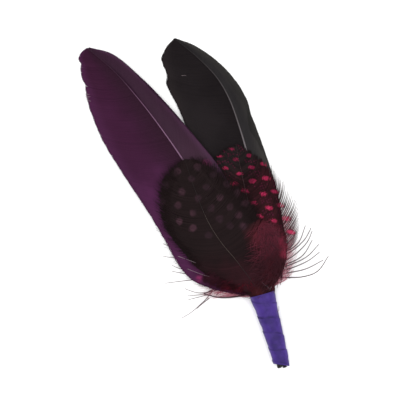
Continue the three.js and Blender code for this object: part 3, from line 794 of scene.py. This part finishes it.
redDown = vaneMaterial("redDown", {
    **downLook, "dark": "#24080d", "light": "#480e1a", "tip": "#331620", "tipFrom": 21, "tipTo": 28,
    "vary": 0.25})
collarDown = vaneMaterial("collarDown", {**downLook, "dark": "#200d10", "light": "#381519", "vary": 0.2})
darkLook = {
    "dark": "#180a0d", "light": "#280f15", "cloudScale": 65.0, "tip": "#1b1213", "tipFrom": 22, "tipTo": 40,
    "vary": 0.18, "spotDark": "#26191e", "spotLight": "#3a252d", "spotRadius": 2.4, "spotSoft": 0.45,
    "spotWarp": 1.8, "ragged": 0.4, "roughness": 0.55, "gloss": 0.04, "sheenTint": "#8a6a70"}
darkFray = vaneMaterial("darkSpottedFrayedBarbs", darkLook)
broadVane = {"Fray": 0.07, "Tip Width": 0.00036, "Tip Spread": 0.004, "Taper From": 0.86}
frayedBarbs = {
    "Points": 26, "Root Width": 0.0002, "Tip Width": 0.00012, "Tip Spread": 0.02, "Fray": 0.22,
    "Wander": 0.001, "Taper From": 0.6, "Drop": -0.0001,
}
darkSpotted = {
    "quill": [[-2.65, -13.3, 3.6], [-1.8, -5, 4.2], [-0.2, 4, 5.0], [1.7, 14, 6.05]],
    "shaft": [
        [1.7, 14, 6.05], [0.3, 22, 6.9], [-1.4, 30, 7.4], [-3.6, 38.4, 7.9], [-4.7, 47, 8.3], [-4.3, 58, 8.4],
        [-2.8, 71.9, 7.9],
    ],
    "radii": [0.4, 0.07, 0.03], "waist": 0.9, "lift": 0.16, "points": 40,
    "left": {
        "start": 0.01, "bow": 0.12, "barbs": 270,
        "edge": [
            [-1.6, 17.4, 5.6], [-5.0, 20.6, 5.3], [-11.0, 26.6, 4.7], [-16.0, 33.8, 4.4], [-18.4, 42.5, 4.3],
            [-20.4, 52, 4.3], [-18.4, 61.7, 5.1], [-12.6, 69.6, 6.7], [-6.2, 71.6, 7.7], [-3.2, 71.6, 7.9],
        ],
        "values": broadVane,
    },
    "right": {
        "start": 0.01, "bow": 0.12, "barbs": 300,
        "edge": [
            [6.8, 15.6, 5.0], [12.2, 18.6, 4.5], [16.4, 23, 4.3], [19.4, 29.4, 4.3], [19.2, 34, 4.4],
            [16.8, 37.8, 4.8], [14, 40.4, 5.5], [12.6, 46, 6.1], [9.4, 56, 6.9], [5.0, 64.8, 7.5],
            [1.0, 69.8, 7.8], [-2.2, 71.4, 7.9],
        ],
        "values": broadVane,
    },
    "spots": [
        [-7.4, 68.8], [0.4, 67], [4.6, 62.2], [-3.6, 64], [-13.2, 66], [0.2, 58.8], [-8.8, 61.2], [-17, 61.2],
        [-4.4, 56.4], [7.2, 56.8], [3, 53.6], [-12.2, 57.2], [-1.8, 51.2], [4.8, 48.6], [-8.4, 52.2],
        [-0.4, 46.2], [-14.2, 51.8], [-10.8, 47.4], [2, 42.4], [6.2, 40.4], [-6.6, 42.4], [9.6, 52],
        [10.6, 47.4], [6.6, 44.6], [16.2, 24.4], [17.2, 28.4],
    ],
    # the vane is crimson under the down on its right
    "patches": [[15.8, 30.5], [14, 34.8], [11.4, 33.8], [13.2, 28.8], [16.8, 26.4]],
    "material": vaneMaterial("darkSpottedVane", {
        **darkLook, "patchDark": "#46191f", "patchLight": "#5e232e", "patchRadius": 4.2, "patchSoft": 4.0,
        "patchRagged": 4.0, "patchScale": 170.0}),
    "shaftMaterial": keratinMaterial("brownRachisKeratin", [
        (28.5, "#140c0e"), (34, "#433934"), (50, "#433934"), (55, "#140c0e")]),
    "loose": {
        "crimsonDown": {
            "material": crimsonDown,
            "roots": [[4.5, 17.5, 6.9], [8.4, 21.5, 6.6], [11, 26, 6.3], [12, 30, 6.1], [13, 33.5, 6.2]],
            "tips": [
                [7.2, 15.4, 5.6], [12.6, 18.9, 5.2], [16.8, 23.2, 5.1], [19.6, 29.4, 5.1], [19.3, 34, 5.2],
                [17.0, 37.8, 5.6], [12.4, 38.6, 6.2],
            ],
            "values": {
                "Barbs": 640, "Points": 14, "Seed": 31, "Bow": -0.12, "Root Width": 0.00016,
                "Tip Width": 0.00012, "Thickness": 0.3, "Tip Spread": 0.06, "Fray": 0.55, "Wander": 0.0016,
                "Wander Scale": 4.0, "Drop": -0.0002, "Root Spread": 0.01,
            },
        },
        "innerDown": {
            "material": crimsonDown,
            "roots": [[4.4, 20, 7.3], [6.6, 25, 7.1], [8.4, 29, 7.0], [10.8, 33, 6.9]],
            "tips": [[7.4, 18.4, 6.7], [11.4, 23.4, 6.5], [13, 29.5, 6.3], [12.2, 35.6, 6.5],
                     [9.6, 37.8, 6.8]],
            "values": {
                "Barbs": 260, "Points": 14, "Seed": 37, "Bow": -0.1, "Root Width": 0.00014,
                "Tip Width": 0.0001, "Thickness": 0.3, "Tip Spread": 0.12, "Fray": 0.65, "Wander": 0.0016,
                "Wander Scale": 4.0, "Drop": -0.0003, "Root Spread": 0.012,
            },
        },
        "bottomDown": {
            "material": redDown,
            "roots": [[1.6, 18.4, 6.7], [-2.5, 21, 6.3], [-7, 24.6, 5.9], [-11, 29, 5.6]],
            "tips": [[1.2, 14.6, 5.0], [-3.2, 15.8, 4.4], [-8.3, 18.8, 4.0], [-13.2, 22.8, 3.8],
                     [-17, 28, 3.9]],
            "values": {
                "Barbs": 520, "Points": 14, "Seed": 41, "Bow": 0.1, "Root Width": 0.00018,
                "Tip Width": 0.0001, "Tip Spread": 0.06, "Fray": 0.5, "Wander": 0.004, "Wander Scale": 6.0,
                "Drop": -0.0001, "Taper From": 0.7, "Root Spread": 0.004,
            },
        },
        "collar": {
            "material": collarDown,
            "roots": [[-1.6, 13.6, 5.6], [0.6, 13.6, 6.6], [3.4, 13.2, 6.7], [5.8, 12.4, 5.4]],
            "tips": [[-3.6, 18.6, 5.2], [0.4, 20.4, 7.0], [4.4, 19.4, 7.0], [8.2, 16.6, 5.4]],
            "values": {
                "Barbs": 150, "Points": 14, "Seed": 43, "Bow": 0.03, "Root Width": 0.0003,
                "Tip Width": 0.00012, "Tip Spread": 0.06, "Fray": 0.4, "Wander": 0.0015,
                "Wander Scale": 4.0, "Taper From": 0.6, "Root Spread": 0.0006,
            },
        },
        "rightFray": {
            "material": darkFray, "roots": [[8.6, 40, 6.8], [5.6, 50, 7.4], [2.4, 58, 7.8], [-1, 66, 7.9]],
            "tips": [[14.4, 41.6, 6.2], [14.2, 48, 6.5], [12, 57, 7.1], [8, 64.6, 7.5], [3.4, 70.4, 7.8],
                     [-1.4, 72.4, 7.9]],
            "values": {**frayedBarbs, "Barbs": 230, "Seed": 47, "Bow": 0.12},
        },
        "leftFray": {
            "material": darkFray,
            "roots": [[-10, 34, 6.3], [-11.6, 44, 6.5], [-11.6, 54, 7.0], [-8.4, 63, 7.7], [-4.6, 68, 7.9]],
            "tips": [
                [-17.4, 33.6, 4.6], [-20.6, 43, 4.5], [-21.8, 52.6, 4.6], [-20.2, 63, 5.3],
                [-13.8, 71.2, 6.8], [-6.2, 73.2, 7.8], [-2.6, 72.8, 7.9],
            ],
            "values": {**frayedBarbs, "Barbs": 260, "Seed": 53, "Bow": -0.1},
        },
    },
    "hairs": {
        "paleFrays": {
            "material": paleKeratin, "width": 0.06,
            "lines": [
                [[3.9, 18.8, 7.3], [4.3, 17.3, 7.4], [4.9, 16.4, 7.2], [5.5, 14.7, 7.8]],
                [[6.4, 15.6, 6.9], [5.9, 15.2, 7.2], [5.1, 14.6, 7.8]],
            ],
        },
    },
}
feathers = {
    "black_feather": black, "pink_spotted_feather": pinkSpotted, "purple_feather": purple,
    "dark_spotted_feather": darkSpotted,
}
for node, feather in feathers.items():
    makeFeather(node, feather)
bpy.data.objects.remove(noSpots)

# The wrap: a rounded square sleeve whose outside steps down at each lap of the tape
tape = {
    "stations": [  # centre x and y, half width and height
        [-2.45, -13.35, 3.05, 5.2], [-1.2, -7, 3.2, 5.6], [0, 0, 3.6, 6.1], [1.0, 7, 3.95, 6.8],
        [2.2, 14.4, 4.75, 7.6],
    ],
    "lean": 9, "cutSlant": 33, "cutBack": 0.9, "wall": 0.5, "squareness": 2.6, "footShare": 0.5,
    "wrapPitch": 6.0, "wrapStep": 0.2, "wrapFrom": 0.42, "sway": 0.05, "sides": 96, "rings": 220,
    "crease": 0.16,
    "cutOver": 0.25,  # share of the length over which the slant of the cut end turns into the lean
    "shoulderSheen": [0.5, 0.35],  # where the painted highlight on the shoulder starts and over what share of the half width it grows
    "lapLine": [9, 26],  # how fast the painted shade line fades past the lap's edge and before it
    "lapShows": [2.2, 0.62],  # how unevenly and how much of the painted shade shows
}


def tapeRing(share, inset):
    stations = np.array(tape["stations"])
    shares = np.linspace(0, 1, len(stations))
    x, y, halfWidth, height = (np.interp(share, shares, column) for column in stations.T)
    cut = max(0, 1 - share / tape["cutOver"])
    slant = math.radians(tape["lean"] + (tape["cutSlant"] - tape["lean"]) * cut)
    angle = math.pi - 2 * math.pi * (np.arange(tape["sides"]) + 0.5) / tape["sides"]
    around = (math.pi - angle) / (2 * math.pi)
    length = stations[-1][1] - stations[0][1]
    sway = tape["sway"] * (np.sin(2 * math.pi * around * 2 + share * 19) + math.sin(share * 23))
    turn = share * length / tape["wrapPitch"] + around - tape["wrapFrom"] + sway
    lap = turn - np.floor(turn)
    proud = 0 if inset else tape["wrapStep"] * lap
    power = 2 / tape["squareness"]
    cos, sin = np.cos(angle), np.sin(angle)
    u = np.sign(cos) * np.abs(cos) ** power * (halfWidth - inset + proud)
    rise = np.sign(sin) * np.abs(sin) ** power * (height / 2 - inset + proud)
    z = np.where((sin < 0) & (np.abs(cos) < tape["footShare"]), inset, np.maximum(inset, height / 2 + rise))
    back = tape["cutBack"] * cut * z / height
    ring = np.stack([x + u * math.cos(slant), y - u * math.sin(slant) + back, z], axis=1)
    if not inset:
        # creases run aslant over the top of the wrap
        centre = np.array([x, y, height / 2])
        for k, p in enumerate(ring):
            deep = noise.noise(Vector((p[0] * 0.5 + p[1] * 0.16, p[1] * 0.42, p[2] * 0.4 + 7)))
            if p[2] > 0.5:
                ring[k] += (centre - p) / np.linalg.norm(centre - p) * tape["crease"] * (deep + 0.5)
    # a mask for the painted highlight over the shoulders of the stem
    shoulderFrom, shoulderOver = tape["shoulderSheen"]
    shoulderSheen = np.clip((np.abs(u) / halfWidth - shoulderFrom) / shoulderOver, 0, 1)
    # the painted shade along the lap's edge shows in some places and fades out in others, where the lap lies
    # flat
    unevenly, shown = tape["lapShows"]
    shows = np.array([noise.noise(Vector((p[0] * 0.35, p[1] * 0.35, 3))) for p in ring]) * unevenly + shown
    past, before = tape["lapLine"]
    lapShade = np.clip(1 - np.minimum(lap * past, (1 - lap) * before), 0, 1) * np.clip(shows, 0, 1)
    return ring * mm, lapShade * (0 if inset else 1), shoulderSheen


def makeTape():
    shares = np.linspace(0, 1, tape["rings"])
    outer = [tapeRing(share, 0) for share in shares]
    inner = [tapeRing(share, tape["wall"]) for share in shares[::-20]]
    rings, lapShades, shoulders = (np.concatenate(column) for column in zip(*outer, *inner))
    # the edge colour is a painted highlight over the shoulders
    # the lap colour is painted shade along the edge of each lap
    material = tapeMaterial("violetSatinTape", {
        "dark": "#2a1a57", "light": "#3d2874", "edge": "#4f3b86", "lap": "#24164c", "creaseShadeScale": 170.0,
        "thread": 0.12})
    faces = ringFaces(len(rings) // tape["sides"], tape["sides"], closed=True)
    piece = meshPiece("stem_tape_wrap", rings, faces, material, {"lapShade": lapShades, "shoulderSheen": shoulders})
    dress(piece, "stem_tape")
    fibres = [
        [[-2.0, 14.3, 4.6], [-3.4, 15.3, 4.0], [-4.9, 16.2, 3.5]],
        [[3.5, 7.1, 5.9], [4.8, 6.1, 5.2], [5.3, 6.7, 5.0], [5.8, 7.7, 4.9]],
    ]
    dress(makeHairs("stem_tape_fibres", fibres, 0.24, wispKeratin), "stem_tape")
    print("stem_tape made")


makeTape()

floorReach, floorLevel = 2, -0.2 * mm
corners = [(x * floorReach, y * floorReach, floorLevel) for x, y in ((-1, -1), (1, -1), (1, 1), (-1, 1))]
floorMesh = bpy.data.meshes.new("floor")
floorMesh.from_pydata(corners, [], [(0, 1, 2, 3)])
floor = newObject("floor", floorMesh)
floorMaterial, floorTree = newMaterial("whitePaper")
floorShader = addNode(floorTree, "ShaderNodeBsdfPrincipled", Base_Color=hexColour("#fafafa"), Roughness=0.9)
addNode(floorTree, "ShaderNodeOutputMaterial", Surface=floorShader.outputs[0])
floorMesh.materials.append(floorMaterial)
print("floor laid")

world = bpy.data.worlds.new("softRoom")
world.use_nodes = True
world.node_tree.nodes["Background"].inputs[0].default_value = (1, 1, 1, 1)
world.node_tree.nodes["Background"].inputs[1].default_value = 0.75
bpy.context.scene.world = world


def areaLight(name, place, size, power, target=(0, 55 * mm, 0)):
    light = bpy.data.lights.new(name, "AREA")
    light.shape = "SQUARE"
    light.size = size
    light.energy = power
    lamp = newObject(name, light)
    lamp.location = place
    lamp.rotation_euler = (Vector(target) - Vector(place)).to_track_quat("-Z", "Y").to_euler()


areaLight("softBoxLeft", (-0.12, 0.25, 0.85), 0.8, 3.4)
areaLight("softBoxRight", (0.14, -0.05, 0.85), 0.8, 3.8)

# straight down, turned so that the stem points to the lower right as in the picture
view = {
    "fieldWidth": 150 * mm, "lens": 100.0, "sensor": 36.0, "centre": (-4.04 * mm, 55.67 * mm), "turn": 25.0,
}
camera = bpy.data.cameras.new("camera")
camera.lens = view["lens"]
camera.sensor_width = view["sensor"]
eye = newObject("camera", camera)
eye.location = (*view["centre"], view["fieldWidth"] * view["lens"] / view["sensor"])
eye.rotation_euler = (0, 0, math.radians(-view["turn"]))
bpy.context.scene.camera = eye
bpy.context.scene.view_settings.view_transform = "Standard"
print("light and camera set")

bpy.context.view_layer.update()
